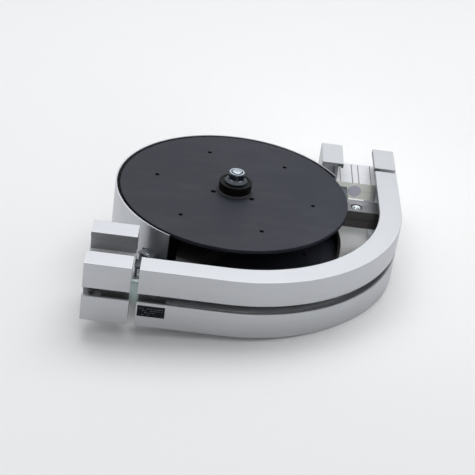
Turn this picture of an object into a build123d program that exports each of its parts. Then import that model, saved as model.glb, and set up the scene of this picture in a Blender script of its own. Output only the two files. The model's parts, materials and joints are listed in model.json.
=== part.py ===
"""Ninety-degree wheel bend for a flexible-chain conveyor.

The frame's origin is the wheels' common axis at the height of the profiles' bottom face.
+Z is up, +X is the way the upper chain runs in, and +Y is the way it runs out.
The outfeed side is drawn first, and the infeed side is its mirror image.
"""
import os
from math import asin, cos, degrees, radians, sin, sqrt

from build123d import *

# Conveyor profile
profile_height = 70.0
half_width = 45.0
box_depth = 20.0
lip_reach = 6.0
flange_thickness = 4.0
lip_drop = 2.0
lip_width = 2.5
wall = 3.5
shelf = 3.0
slot_opening = 10.0
slot_chamfer = 0.75
bend_straight = 92.0
end_gap = 8.0
end_length = 50.0

# Web that ties the two halves of an end piece
web_plate = 11.0
groove_offset = 4.0
groove_depth = 1.2
dowel_radius = 8.0
seam_chamfer = 0.5
dowel_stand_out = 1.0
bore_clearance = 0.05

# Strip that joins an end piece to the bend
strip_thickness = 6.0
strip_height = 26.0
strip_clearance = 0.3
strip_reach_bend = 34.0
strip_reach_end = 34.0
grub_radius = 3.0
grub_first = 14.0
grub_pitch = 13.0

# Screws of the frame
tie_from_end = 9.0
tie_spread = 8.0
tie_shank_radius = 2.0
tie_shank_length = 14.0
tie_head_radius = 3.5
tie_head_height = 4.0
side_shank_radius = 3.0
side_shank_length = 20.0
side_head_radius = 5.0
side_head_height = 6.0
socket_share = 0.45
screw_clearance = 0.2
captive_nut_width = 10.0
captive_nut_thickness = 5.0
captive_nut_from_wall = 12.0

# Carrier that holds the axle between the two tracks
carrier_hub_radius = 30.0
pad_near = 29.0
pad_far = 57.0
pad_hidden = 14.0
pad_root = 10.0
pad_screw_from_wall = 27.0
pad_screw_y = 40.0
pad_screw_head_radius = 5.8
pad_screw_head_height = 2.6
pad_screw_seat_depth = 3.4
pad_screw_seat_gap = 1.0
pad_screw_radius = 3.0
pad_screw_length = 16.0
side_screw_offset = 8.0
hub_screw_circle = 23.5
hub_screw_count = 3

# Axle
axle_radius = 6.0
axle_stub = 0.6
axle_end_chamfer = 0.6
bolt_head_crown = 0.55
nut_crown = 1.4
nut_flange_width = 4.0
nut_flange_thickness = 1.6
nut_skirt_height = 2.4
nut_skirt_width = 0.6
bolt_head_height = 8.0
spacer_thickness = 1.5
sleeve_step = 0.5
carrier_washer_thickness = 4.0

# Bearings
bearing_width = 10.0
bearing_outer_radius = 16.0
ball_radius = 2.9
ball_groove = 0.9
ball_count = 7
ball_clearance = 0.1
cage_thickness = 1.2
cage_width = 6.4
pocket_clearance = 0.15
seal_thickness = 0.8
seal_inset = 0.2
seal_gap = 0.35

# Wheels
wheel_radius = 132.0
wheel_under_lip = 1.0
disc_thickness = 4.0
disc_edge_chamfer = 0.5
rim_wall = 3.0
rim_height = 15.0
rim_hole_radius = 1.8
rim_hole_circle = 92.0
rim_hole_count = 6
wheel_phase = -9.1
collar_height = 12.0
collar_wall = 3.0
collar_edge_chamfer = 0.8
hub_shoulder = 2.0
hub_end_gap = 3.0
hub_flange_width = 13.0
hub_flange_thickness = 4.0
seat_clearance = 0.02
foot_ring_width = 1.5
foot_ring_height = 1.8
cap_thickness = 1.1
cap_gap = 0.4
disc_screw_from_collar = 7.0
disc_screw_count = 3
disc_screw_head_radius = 3.2
disc_screw_shank_radius = 1.6
disc_screw_length = 7.0

# Guard round the back of the wheels
guard_gap = 3.5
guard_thickness = 1.5
guard_setback = 33.0
guard_raised = 14.6
guard_raise = 4.0
guard_foot = 0.0
tab_from_end = 8.6
tab_span = 7.0
tab_reach = 12.0
bracket_thickness = 3.0
bracket_margin = 7.6
bracket_front_margin = 16.7
bracket_overlap = 15.0
bracket_leg = 14.0
bracket_screw_drop = 8.5
rivet_tail = 1.5
rivet_radius = 2.0
rivet_head_radius = 3.2
rivet_head_height = 1.0
bracket_screw_radius = 2.5
bracket_screw_head_radius = 4.4
bracket_screw_head_height = 2.4
bracket_screw_length = 12.0

# Nameplate
plate_length = 29.0
plate_height = 13.0
plate_thickness = 0.8
plate_from_end = 1.5
plate_foot = 13.5

middle = profile_height / 2
web_top = middle + web_plate
box_inner = half_width - box_depth
lip_inner = box_inner - lip_reach
track_radius = wheel_radius + lip_inner - wheel_under_lip
chamber_inner = box_inner + wall
chamber_outer = half_width - wall
chamber_height = strip_height + 2 * strip_clearance
wall_radius = track_radius + box_inner
chamber_radius = track_radius + chamber_inner
end_start = bend_straight + end_gap
end_stop = end_start + end_length
washer_top = web_top + carrier_washer_thickness
collar_top = profile_height + collar_height
upper_bearing_top = collar_top - spacer_thickness
bearing_centres = (washer_top + bearing_width / 2, upper_bearing_top - bearing_width / 2)
pitch_radius = (axle_radius + bearing_outer_radius) / 2
inner_ring_radius = pitch_radius - ball_radius + ball_groove
outer_ring_bore = pitch_radius + ball_radius - ball_groove
collar_radius = bearing_outer_radius + collar_wall
disc_screw_circle = collar_radius + disc_screw_from_collar
hex_width = 3 * axle_radius
nut_height = 2 * axle_radius
nut_flange_radius = hex_width / 2 + nut_flange_width
pad_inner = wheel_radius - pad_hidden
pad_screw_x = wall_radius - pad_screw_from_wall
guard_inner_radius = wheel_radius + guard_gap
guard_outer_radius = guard_inner_radius + guard_thickness
guard_start = degrees(asin((end_start - guard_setback) / guard_outer_radius))
guard_low = middle + guard_raise
tab_middle = guard_start + tab_from_end
rivet_radius_from_axis = guard_outer_radius + tab_reach * 0.55
rivet_x = rivet_radius_from_axis * cos(radians(tab_middle))
rivet_y = rivet_radius_from_axis * sin(radians(tab_middle))
web_side = track_radius - box_inner
bracket_side = web_side + bracket_overlap


def block(low_x, high_x, low_y, high_y, low_z, high_z):
    size = Box(high_x - low_x, high_y - low_y, high_z - low_z)
    return Pos((low_x + high_x) / 2, (low_y + high_y) / 2, (low_z + high_z) / 2) * size


def pillar(radius, low_z, high_z, x=0.0, y=0.0):
    return Pos(x, y, (low_z + high_z) / 2) * Cylinder(radius, high_z - low_z)


def tube(outer, inner, low_z, high_z):
    return pillar(outer, low_z, high_z) - pillar(inner, low_z, high_z)


def on_circle(radius, angle):
    return radius * cos(radians(angle)), radius * sin(radians(angle))


def to_infeed(shape):
    return mirror(shape, about=Plane(origin=(0, 0, 0), z_dir=(1, 1, 0)))


def to_lower(shape):
    return mirror(shape, about=Plane.XY.offset(middle))


def socket_screw(head_radius, head_height, shank_radius, shank_length):
    """A screw that points down -Z with the underside of its head at zero."""
    head = pillar(head_radius, 0, head_height)
    head = chamfer(head.edges().sort_by(Axis.Z)[-1], head_height * 0.12)
    screw = head + pillar(shank_radius, -shank_length, 0)
    socket = RegularPolygon(head_radius * socket_share, 6)
    return screw - extrude(Pos(0, 0, head_height * 0.4) * socket, head_height)


def rect(low_u, high_u, low_z, high_z):
    size = Rectangle(high_u - low_u, high_z - low_z)
    return Pos((low_u + high_u) / 2, (low_z + high_z) / 2) * size


def half_section():
    """Section of one half profile: first axis outwards from the track's centreline, second up."""
    low_shelf = middle - chamber_height / 2 - shelf
    high_shelf = middle + chamber_height / 2 + shelf
    top_cell = profile_height - flange_thickness
    section = rect(box_inner, half_width, 0, profile_height)
    for low, high in ((0, flange_thickness), (top_cell, profile_height)):
        section += rect(lip_inner, box_inner, low, high)
    section += rect(lip_inner, lip_inner + lip_width, flange_thickness, flange_thickness + lip_drop)
    section += rect(lip_inner, lip_inner + lip_width, top_cell - lip_drop, top_cell)
    section -= rect(chamber_inner, chamber_outer, flange_thickness, low_shelf)
    section -= rect(chamber_inner, chamber_outer, high_shelf, top_cell)
    section -= rect(chamber_inner, chamber_outer, low_shelf + shelf, high_shelf - shelf)
    half_slot = slot_opening / 2
    mouth = Polygon(
        (chamber_outer, middle - half_slot),
        (half_width - slot_chamfer, middle - half_slot),
        (half_width, middle - half_slot - slot_chamfer),
        (half_width, middle + half_slot + slot_chamfer),
        (half_width - slot_chamfer, middle + half_slot),
        (chamber_outer, middle + half_slot),
        align=None,
    )
    return section - mouth


def along_outfeed(section, start, stop):
    """The section drawn out along +Y beside the outfeed centreline."""
    plane = Plane(origin=(track_radius, start, 0), x_dir=(1, 0, 0), z_dir=(0, -1, 0))
    return extrude(plane * section, start - stop)


def side_rows():
    pad_middle = (pad_near + pad_far) / 2
    return pad_middle - side_screw_offset, pad_middle + side_screw_offset


def side_screw_place(y):
    return Pos(chamber_radius, y, middle) * Rot(0, 90, 0)


def side_bore(y, clearance):
    """The hole for one side screw, from the slot's back wall to just past the screw's tip."""
    length = wall + side_shank_length + 1
    return side_screw_place(y) * Pos(0, 0, -length / 2) * Cylinder(side_shank_radius + clearance, length)


def outer_bend_profile():
    section = half_section()
    straight = along_outfeed(section, 0, bend_straight)
    for y in side_rows():
        straight -= side_bore(y, screw_clearance)
    plane = Plane(origin=(track_radius, 0, 0), x_dir=(1, 0, 0), z_dir=(0, -1, 0))
    arc = revolve(plane * section, Axis((0, 0, 0), (0, 0, -1)), 90)
    return straight + arc + to_infeed(straight)


def end_half(side):
    """One half of the outfeed end piece: side +1 lies outside the bend and -1 inside it."""
    section = half_section()
    if side < 0:
        section = mirror(section, about=Plane.YZ)
    half = along_outfeed(section, end_start, end_stop)
    for z in tie_heights():
        half -= tie_place(side, z) * Cylinder(tie_shank_radius + screw_clearance, 4 * wall)
    return half


def tie_heights():
    return middle - tie_spread, middle + tie_spread


def tie_place(side, z):
    x = track_radius + side * chamber_inner
    return Pos(x, end_stop - tie_from_end, z) * Rot(0, side * 90, 0)


def tie_screws():
    screw = socket_screw(tie_head_radius, tie_head_height, tie_shank_radius, tie_shank_length)
    return [tie_place(side, z) * screw for side in (-1, 1) for z in tie_heights()]


def end_web_upper():
    low_x = track_radius - box_inner
    plate = block(low_x, track_radius + box_inner, end_start, end_stop, middle, web_top)
    plate = chamfer(plate.edges().filter_by(Axis.X).group_by(Axis.Z)[0], seam_chamfer)
    groove = Polygon((-groove_depth, 0), (0, -groove_depth), (groove_depth, 0), align=None)
    for side in (-1, 1):
        place = Plane(origin=(track_radius + side * groove_offset, end_start, web_top),
                      x_dir=(1, 0, 0), z_dir=(0, -1, 0))
        plate -= extrude(place * groove, -end_length)
        tie = Cylinder(tie_shank_radius + bore_clearance, 2 * tie_shank_length + 2)
        plate -= tie_place(side, tie_heights()[1]) * tie
    return plate - dowel_place() * Cylinder(dowel_radius + bore_clearance, 2 * end_length)


def dowel_place():
    return Pos(track_radius, end_start, middle) * Rot(90, 0, 0)


def end_web_lower():
    return to_lower(end_web_upper()) - bracket_bore()


def bracket_bore():
    """The hole for a guard bracket's screw, through the bracket and into the lower web."""
    depth = bracket_screw_length + bracket_thickness
    return bracket_screw_place() * Cylinder(bracket_screw_radius + bore_clearance, 2 * depth)


def end_dowel():
    length = end_length + dowel_stand_out
    centre = (end_start - dowel_stand_out + end_stop) / 2
    dowel = Pos(track_radius, centre, middle) * Rot(90, 0, 0) * Cylinder(dowel_radius, length)
    return chamfer(dowel.edges().filter_by(GeomType.CIRCLE), 0.5)


def grub_rows():
    gap_middle = bend_straight + end_gap / 2
    near, far = grub_first, grub_first + grub_pitch
    return [gap_middle + offset for offset in (-far, -near, near, far)]


def grub_place(y):
    return Pos(chamber_radius, y, middle) * Rot(0, 90, 0)


def joining_strip():
    gap_middle = bend_straight + end_gap / 2
    low_z = middle - strip_height / 2
    strip = block(chamber_radius, chamber_radius + strip_thickness, gap_middle - strip_reach_bend,
                  gap_middle + strip_reach_end, low_z, low_z + strip_height)
    strip = chamfer(strip.edges().filter_by(Axis.Y), 0.6)
    for y in grub_rows():
        strip -= grub_place(y) * Cylinder(grub_radius + bore_clearance, 4 * strip_thickness)
    return strip


def strip_grubs():
    grub = chamfer(pillar(grub_radius, 0, strip_thickness).edges().filter_by(GeomType.CIRCLE), 0.4)
    socket = RegularPolygon(grub_radius * 0.55, 6)
    socket = extrude(Pos(0, 0, strip_thickness / 2) * socket, strip_thickness)
    return [grub_place(y) * (grub - socket) for y in grub_rows()]


def carrier_outline():
    hub = Circle(carrier_hub_radius)
    root = rect(pad_inner - pad_root, pad_inner, pad_near, pad_far)
    arm = make_hull(hub.edges() + root.edges())
    arm += rect(pad_inner - pad_root, wall_radius, pad_near, pad_far)
    return arm + mirror(arm, about=Plane(origin=(0, 0, 0), z_dir=(1, 1, 0))) + hub


def side_nut_x():
    return wall_radius - captive_nut_from_wall


def nut_pocket(y):
    half = captive_nut_width / 2 + screw_clearance
    depth = captive_nut_thickness / 2 + screw_clearance
    x = side_nut_x()
    return block(x - depth, x + depth, y - half, y + half, middle - half, middle + half)


def carrier_cuts():
    """Everything that passes through the outfeed pad of both plates."""
    cuts = [pillar(pad_screw_radius + bore_clearance, 0, web_top, pad_screw_x, pad_screw_y)]
    for y in side_rows():
        cuts += [side_bore(y, screw_clearance), nut_pocket(y)]
    return cuts


def carrier_plate():
    plate = extrude(Pos(0, 0, middle) * carrier_outline(), web_plate)
    for cut in carrier_cuts():
        plate -= cut
        plate -= to_infeed(cut)
    plate -= pillar(axle_radius + bore_clearance, 0, profile_height)
    for angle in hub_screw_angles():
        x, y = on_circle(hub_screw_circle, angle)
        plate -= pillar(pad_screw_radius + bore_clearance, 0, web_top, x, y)
    return plate


def hub_screw_angles():
    return [135 + 360 / hub_screw_count * turn for turn in range(hub_screw_count)]


def carrier_upper_plate():
    plate = carrier_plate()
    seat_radius = pad_screw_head_radius + pad_screw_seat_gap
    seat = pillar(seat_radius, web_top - pad_screw_seat_depth, web_top, pad_screw_x, pad_screw_y)
    plate -= seat
    plate -= to_infeed(seat)
    for angle in hub_screw_angles():
        x, y = on_circle(hub_screw_circle, angle)
        plate -= pillar(side_head_radius + 2 * screw_clearance, web_top - side_head_height, web_top, x, y)
    return plate


def pad_screws():
    screw = socket_screw(pad_screw_head_radius, pad_screw_head_height, pad_screw_radius, pad_screw_length)
    screw = Pos(pad_screw_x, pad_screw_y, web_top - pad_screw_seat_depth) * screw
    return [screw, to_infeed(screw)]


def hub_screws():
    screw = socket_screw(side_head_radius, side_head_height, pad_screw_radius, pad_screw_length - 2)
    places = [on_circle(hub_screw_circle, angle) for angle in hub_screw_angles()]
    return [Pos(x, y, web_top - side_head_height) * screw for x, y in places]


def side_screws():
    screw = socket_screw(side_head_radius, side_head_height, side_shank_radius, side_shank_length + wall)
    placed = [side_screw_place(y) * screw for y in side_rows()]
    return placed + [to_infeed(one) for one in placed]


def captive_nuts():
    nuts = []
    for y in side_rows():
        half = captive_nut_width / 2
        x = side_nut_x()
        depth = captive_nut_thickness / 2
        nut = block(x - depth, x + depth, y - half, y + half, middle - half, middle + half)
        nut -= side_bore(y, bore_clearance)
        nuts += [nut, to_infeed(nut)]
    return nuts


def axle_bolt():
    top = collar_top + nut_height + axle_stub
    bottom = -collar_height
    shank = pillar(axle_radius, bottom, top)
    shank = chamfer(shank.edges().filter_by(GeomType.CIRCLE).sort_by(Axis.Z)[-1], axle_end_chamfer)
    return shank + hex_block(bottom - bolt_head_height, bottom, bolt_head_crown)


def hex_block(low_z, high_z, crown):
    """A hexagon across flats hex_width, with its corners taken off by a cone at both ends."""
    corner = hex_width / sqrt(3)
    solid = extrude(Pos(0, 0, low_z) * RegularPolygon(corner, 6), high_z - low_z)
    round_off = chamfer(pillar(corner, low_z, high_z).edges().filter_by(GeomType.CIRCLE),
                        crown, (corner - hex_width / 2) * 1.05)
    return solid & round_off


def flange_nut():
    low = collar_top
    flange = pillar(nut_flange_radius, low, low + nut_flange_thickness)
    skirt = Cone(nut_flange_radius, hex_width / 2 + nut_skirt_width, nut_skirt_height)
    skirt = Pos(0, 0, low + nut_flange_thickness + nut_skirt_height / 2) * skirt
    nut = flange + skirt + hex_block(low + nut_flange_thickness, low + nut_height, nut_crown)
    return nut - pillar(axle_radius + bore_clearance, low - 1, low + nut_height + 1)


def end_spacer():
    return tube(inner_ring_radius, axle_radius + bore_clearance, upper_bearing_top, collar_top)


def carrier_washer():
    return tube(inner_ring_radius, axle_radius + bore_clearance, web_top, washer_top)


def ring_sleeve():
    low = washer_top + bearing_width
    high = upper_bearing_top - bearing_width
    return tube(inner_ring_radius - sleeve_step, axle_radius + bore_clearance, low, high)


def ball_track(centre):
    return Pos(0, 0, centre) * Torus(pitch_radius, ball_radius + ball_clearance)


def inner_rings():
    rings = []
    for centre in bearing_centres:
        low, high = centre - bearing_width / 2, centre + bearing_width / 2
        rings.append(tube(inner_ring_radius, axle_radius + bore_clearance, low, high) - ball_track(centre))
    return rings


def outer_rings():
    rings = []
    for centre in bearing_centres:
        low, high = centre - bearing_width / 2, centre + bearing_width / 2
        rings.append(tube(bearing_outer_radius, outer_ring_bore, low, high) - ball_track(centre))
    return rings


def balls():
    placed = []
    for centre in bearing_centres:
        for number in range(ball_count):
            x, y = on_circle(pitch_radius, 360 / ball_count * number)
            placed.append(Pos(x, y, centre) * Sphere(ball_radius))
    return placed


def cages():
    placed = []
    for centre in bearing_centres:
        low, high = centre - cage_width / 2, centre + cage_width / 2
        cage = tube(pitch_radius + cage_thickness / 2, pitch_radius - cage_thickness / 2, low, high)
        for number in range(ball_count):
            pocket = Cylinder(ball_radius + pocket_clearance, 4 * cage_thickness)
            outwards = Rot(0, 0, 360 / ball_count * number) * Pos(pitch_radius, 0, 0) * Rot(0, 90, 0)
            cage -= Pos(0, 0, centre) * outwards * pocket
        placed.append(cage)
    return placed


def bearing_seals():
    placed = []
    inner = inner_ring_radius + seal_gap
    for centre in bearing_centres:
        for side in (-1, 1):
            outside = centre + side * (bearing_width / 2 - seal_inset)
            inside = outside - side * seal_thickness
            placed.append(tube(outer_ring_bore, inner, min(inside, outside), max(inside, outside)))
    return placed


def disc_holes():
    holes = []
    for number in range(rim_hole_count):
        x, y = on_circle(rim_hole_circle, wheel_phase + 360 / rim_hole_count * number)
        holes.append(pillar(rim_hole_radius, 0, profile_height + 1, x, y))
    return holes


def disc_screw_points():
    first = wheel_phase + 90
    return [on_circle(disc_screw_circle, first + 360 / disc_screw_count * turn)
            for turn in range(disc_screw_count)]


def wheel_disc():
    low = profile_height - disc_thickness
    disc = pillar(wheel_radius, low, profile_height)
    disc = chamfer(disc.edges().filter_by(GeomType.CIRCLE).sort_by(Axis.Z)[-1], disc_edge_chamfer)
    disc -= pillar(collar_radius + bore_clearance, low, profile_height)
    for hole in disc_holes():
        disc -= hole
    for x, y in disc_screw_points():
        disc -= disc_screw(x, y, bore_clearance)
    return disc


def rim_ring():
    high = profile_height - disc_thickness
    return tube(wheel_radius, wheel_radius - rim_wall, high - rim_height, high)


def disc_screw(x, y, extra=0.0):
    """A countersunk screw flush with the disc's face."""
    head_radius = disc_screw_head_radius + extra
    shank_radius = disc_screw_shank_radius + extra
    depth = head_radius - shank_radius
    head = Pos(x, y, profile_height - depth / 2) * Cone(shank_radius, head_radius, depth)
    shank = pillar(shank_radius, profile_height - disc_screw_length - extra, profile_height - depth, x, y)
    return head + shank


def disc_screws():
    socket = extrude(RegularPolygon(disc_screw_shank_radius * 0.7, 6), 1.2)
    return [disc_screw(x, y) - Pos(x, y, profile_height - 1.2) * socket for x, y in disc_screw_points()]


def wheel_hub():
    low = web_top + hub_end_gap
    flange_top = profile_height - disc_thickness
    hub = pillar(collar_radius, low, collar_top)
    hub += pillar(collar_radius + hub_flange_width, flange_top - hub_flange_thickness, flange_top)
    hub = chamfer(hub.edges().filter_by(GeomType.CIRCLE).sort_by(Axis.Z)[-1], collar_edge_chamfer)
    seat = bearing_outer_radius + seat_clearance
    hub -= pillar(seat, low, washer_top + bearing_width)
    hub -= pillar(seat, upper_bearing_top - bearing_width, collar_top)
    hub -= pillar(bearing_outer_radius - hub_shoulder, low, collar_top)
    for x, y in disc_screw_points():
        hub -= disc_screw(x, y, bore_clearance)
    return hub


def foot_ring():
    outer = collar_radius + foot_ring_width
    return tube(outer, collar_radius, profile_height, profile_height + foot_ring_height)


def dust_cap():
    inner = inner_ring_radius + cap_gap
    return tube(bearing_outer_radius, inner, upper_bearing_top, upper_bearing_top + cap_thickness)


def ring_sector(outer, inner, low_z, high_z, start, stop):
    """A stretch of ring between two angles about the wheels' axis."""
    reach = outer * 2
    middle_angle = radians((start + stop) / 2)
    half = radians((stop - start) / 2)
    wedge = [(0, 0)]
    steps = 8
    for step in range(steps + 1):
        angle = middle_angle - half + 2 * half * step / steps
        wedge.append((reach * cos(angle), reach * sin(angle)))
    sector = extrude(Pos(0, 0, low_z) * Polygon(*wedge, align=None), high_z - low_z)
    return tube(outer, inner, low_z, high_z) & sector


def guard_end():
    """The raised outfeed end of the guard with its tab bent outwards."""
    stop = guard_start + guard_raised
    end = ring_sector(guard_outer_radius, guard_inner_radius, guard_low, profile_height, guard_start, stop)
    end += ring_sector(guard_outer_radius + tab_reach, guard_inner_radius + guard_thickness / 2,
                       guard_low, guard_low + guard_thickness, tab_middle - tab_span / 2,
                       tab_middle + tab_span / 2)
    return end - rivet_bore()


def guard_sheet():
    start = guard_start + guard_raised
    stop = 270 - start
    long_part = ring_sector(guard_outer_radius, guard_inner_radius, guard_foot, profile_height, start, stop)
    end = guard_end()
    return long_part + end + to_infeed(end)


def rivet_place():
    return Pos(rivet_x, rivet_y, guard_low)


def rivet_bore():
    depth = bracket_thickness + guard_thickness
    return rivet_place() * Cylinder(rivet_radius + bore_clearance, 2 * depth)


def guard_rivets():
    length = bracket_thickness + rivet_tail
    shank = pillar(rivet_radius, -length, guard_thickness)
    head = pillar(rivet_head_radius, guard_thickness, guard_thickness + rivet_head_height)
    head = chamfer(head.edges().sort_by(Axis.Z)[-1], rivet_head_height / 2)
    tail = pillar(rivet_head_radius * 0.85, -length, -bracket_thickness)
    rivet = rivet_place() * (shank + head + tail)
    return [rivet, to_infeed(rivet)]


def bracket_screw_place():
    x = (web_side + bracket_side) / 2
    return Pos(x, end_start, guard_low - bracket_screw_drop) * Rot(90, 0, 0)


def guard_bracket():
    """An angle: its leg lies on the web's end face and its shelf carries the guard's tab."""
    leg_back = end_start - bracket_thickness
    shelf_low = guard_low - bracket_thickness
    bracket = block(rivet_x - bracket_margin, bracket_side, rivet_y - bracket_front_margin, leg_back,
                    shelf_low, guard_low)
    bracket += block(web_side, bracket_side, leg_back, end_start, guard_low - bracket_leg, guard_low)
    return bracket - bracket_bore() - rivet_bore()


def bracket_screws():
    screw = socket_screw(bracket_screw_head_radius, bracket_screw_head_height, bracket_screw_radius,
                         bracket_screw_length)
    placed = bracket_screw_place() * Pos(0, 0, bracket_thickness) * screw
    return [placed, to_infeed(placed)]


def nameplate():
    low_x = -bend_straight + plate_from_end
    face = -(track_radius + half_width)
    plate = block(low_x, low_x + plate_length, face - plate_thickness, face,
                  plate_foot, plate_foot + plate_height)
    return chamfer(plate.faces().sort_by(Axis.Y)[0].edges(), 0.25)


def save(name, shape):
    if isinstance(shape, (list, tuple)):
        solids = [solid for piece in shape for solid in piece.solids()]
    else:
        solids = shape.solids()
    body = solids[0] if len(solids) == 1 else Compound(children=list(solids))
    body.label = name
    export_step(body, os.path.join("parts", name + ".step"))
    print(name, len(solids), round(sum(solid.volume for solid in solids), 1))


def save_both_ends(name, shape):
    pieces = shape if isinstance(shape, (list, tuple)) else [shape]
    save("outfeed_" + name, pieces)
    save("infeed_" + name, [to_infeed(piece) for piece in pieces])


def save_both_wheels(name, shape):
    pieces = shape if isinstance(shape, (list, tuple)) else [shape]
    save("upper_" + name, pieces)
    save("lower_" + name, [to_lower(piece) for piece in pieces])


os.makedirs("parts", exist_ok=True)

save("outer_bend_profile", outer_bend_profile())
save_both_ends("outer_half", end_half(1))
save_both_ends("inner_half", end_half(-1))
save_both_ends("web_upper", end_web_upper())
save_both_ends("web_lower", end_web_lower())
save_both_ends("web_dowel", end_dowel())
save_both_ends("tie_screws", tie_screws())
save_both_ends("joining_strip", joining_strip())
save_both_ends("strip_grub_screws", strip_grubs())
save("carrier_upper_plate", carrier_upper_plate())
save("carrier_lower_plate", to_lower(carrier_plate()))
save("carrier_pad_screws", pad_screws())
save("carrier_hub_screws", hub_screws())
save("carrier_side_screws", side_screws())
save("carrier_captive_nuts", captive_nuts())
save("axle_bolt", axle_bolt())
save("axle_flange_nut", flange_nut())
save_both_wheels("end_spacer", end_spacer())
save_both_wheels("carrier_washer", carrier_washer())
save_both_wheels("ring_sleeve", ring_sleeve())
save_both_wheels("bearing_inner_rings", inner_rings())
save_both_wheels("bearing_outer_rings", outer_rings())
save_both_wheels("bearing_balls", balls())
save_both_wheels("bearing_cages", cages())
save_both_wheels("bearing_seals", bearing_seals())
save_both_wheels("wheel_hub", wheel_hub())
save_both_wheels("foot_ring", foot_ring())
save_both_wheels("dust_cap", dust_cap())
save_both_wheels("disc_screws", disc_screws())
save_both_wheels("wheel_disc", wheel_disc())
save("lower_wheel_rim", to_lower(rim_ring()))
save("guard_sheet", guard_sheet())
save("guard_rivets", guard_rivets())
save_both_ends("guard_bracket", guard_bracket())
save("guard_bracket_screws", bracket_screws())
save("nameplate", nameplate())
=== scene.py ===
import json
import math
import bpy
import bmesh
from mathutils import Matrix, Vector


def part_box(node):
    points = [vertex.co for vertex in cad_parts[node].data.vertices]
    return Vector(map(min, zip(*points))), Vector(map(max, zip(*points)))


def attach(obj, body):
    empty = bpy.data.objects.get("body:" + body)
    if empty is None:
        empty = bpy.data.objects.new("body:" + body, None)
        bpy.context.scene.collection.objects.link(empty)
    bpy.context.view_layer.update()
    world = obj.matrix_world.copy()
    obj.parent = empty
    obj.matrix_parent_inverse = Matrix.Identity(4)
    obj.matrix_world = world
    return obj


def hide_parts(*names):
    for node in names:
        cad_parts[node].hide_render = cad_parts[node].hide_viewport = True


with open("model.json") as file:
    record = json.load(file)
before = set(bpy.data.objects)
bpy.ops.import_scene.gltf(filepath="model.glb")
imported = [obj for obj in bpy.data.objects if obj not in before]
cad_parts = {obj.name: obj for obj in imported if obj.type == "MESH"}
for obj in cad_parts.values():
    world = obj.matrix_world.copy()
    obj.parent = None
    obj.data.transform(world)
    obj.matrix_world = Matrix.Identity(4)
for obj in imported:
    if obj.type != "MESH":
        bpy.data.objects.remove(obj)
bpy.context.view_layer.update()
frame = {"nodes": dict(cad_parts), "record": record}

cadNodes = frame["nodes"]
print("frame loaded:", len(cadNodes), "nodes")


view = {
    "azimuth": -2.5455,      # degrees round +Z from looking along +Y
    "elevation": 30.6177,    # degrees above the object's own base plane
    "roll": 8.3893,          # the bend stands tipped, and the camera stands level
    "wheelRadii": 12.1273,   # distance in wheel radii
    "aside": 0.0856,         # the aim, in wheel radii from the middle of the upper disc
    "below": -0.4063,
    "lens": 105.27,
}


def makeCamera():
    low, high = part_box("upper_wheel_disc")
    radius = (high.x - low.x) / 2
    azimuth, elevation, roll = (math.radians(view[key]) for key in ("azimuth", "elevation", "roll"))
    back = Vector((math.sin(azimuth) * math.cos(elevation), -math.cos(azimuth) * math.cos(elevation),
                   math.sin(elevation)))
    right = Vector((math.cos(azimuth), math.sin(azimuth), 0))
    up = back.cross(right)
    aim = Vector((0, 0, high.z)) + (right * view["aside"] + up * view["below"]) * radius
    rolledRight = right * math.cos(roll) + up * math.sin(roll)
    rolledUp = up * math.cos(roll) - right * math.sin(roll)
    data = bpy.data.cameras.new("camera")
    data.lens = view["lens"]
    data.sensor_width = 36
    data.clip_start, data.clip_end = 0.05, 60
    camera = bpy.data.objects.new("camera", data)
    bpy.context.scene.collection.objects.link(camera)
    place = camera.matrix_world.copy()
    for column, axis in enumerate((rolledRight, rolledUp, back)):
        for row in range(3):
            place[row][column] = axis[row]
    place.translation = aim + back * view["wheelRadii"] * radius
    camera.matrix_world = place
    bpy.context.scene.camera = camera


makeCamera()
print("camera placed")


class Value:
    # one socket of a node tree, so that its maths reads as plain maths
    def __init__(self, maker, socket):
        self.maker = maker
        self.socket = socket

    def maths(self, operation, *others):
        return self.maker.node("ShaderNodeMath", {"operation": operation}, [self, *others])

    def __add__(self, other):
        return self.maths("ADD", other)

    def __mul__(self, other):
        return self.maths("MULTIPLY", other)

    def __sub__(self, other):
        return self.maths("SUBTRACT", other)

    def __rsub__(self, other):
        return self.maker.node("ShaderNodeMath", {"operation": "SUBTRACT"}, [other, self])

    def __truediv__(self, other):
        return self.maths("DIVIDE", other)

    __radd__ = __add__
    __rmul__ = __mul__


class NodeMaker:
    # adds nodes to one tree: settings first, then the values or links of the sockets
    def __init__(self, tree):
        self.tree = tree
        tree.nodes.clear()

    def node(self, kind, settings=None, inputs=(), output=0):
        made = self.tree.nodes.new(kind)
        for key, value in (settings or {}).items():
            setattr(made, key, value)
        pairs = inputs.items() if isinstance(inputs, dict) else enumerate(inputs)
        for key, value in pairs:
            self.feed(made.inputs[key], value)
        return Value(self, made.outputs[output]) if made.outputs else None

    def feed(self, socket, value):
        if isinstance(value, Value):
            self.tree.links.new(value.socket, socket)
        else:
            socket.default_value = value


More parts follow.
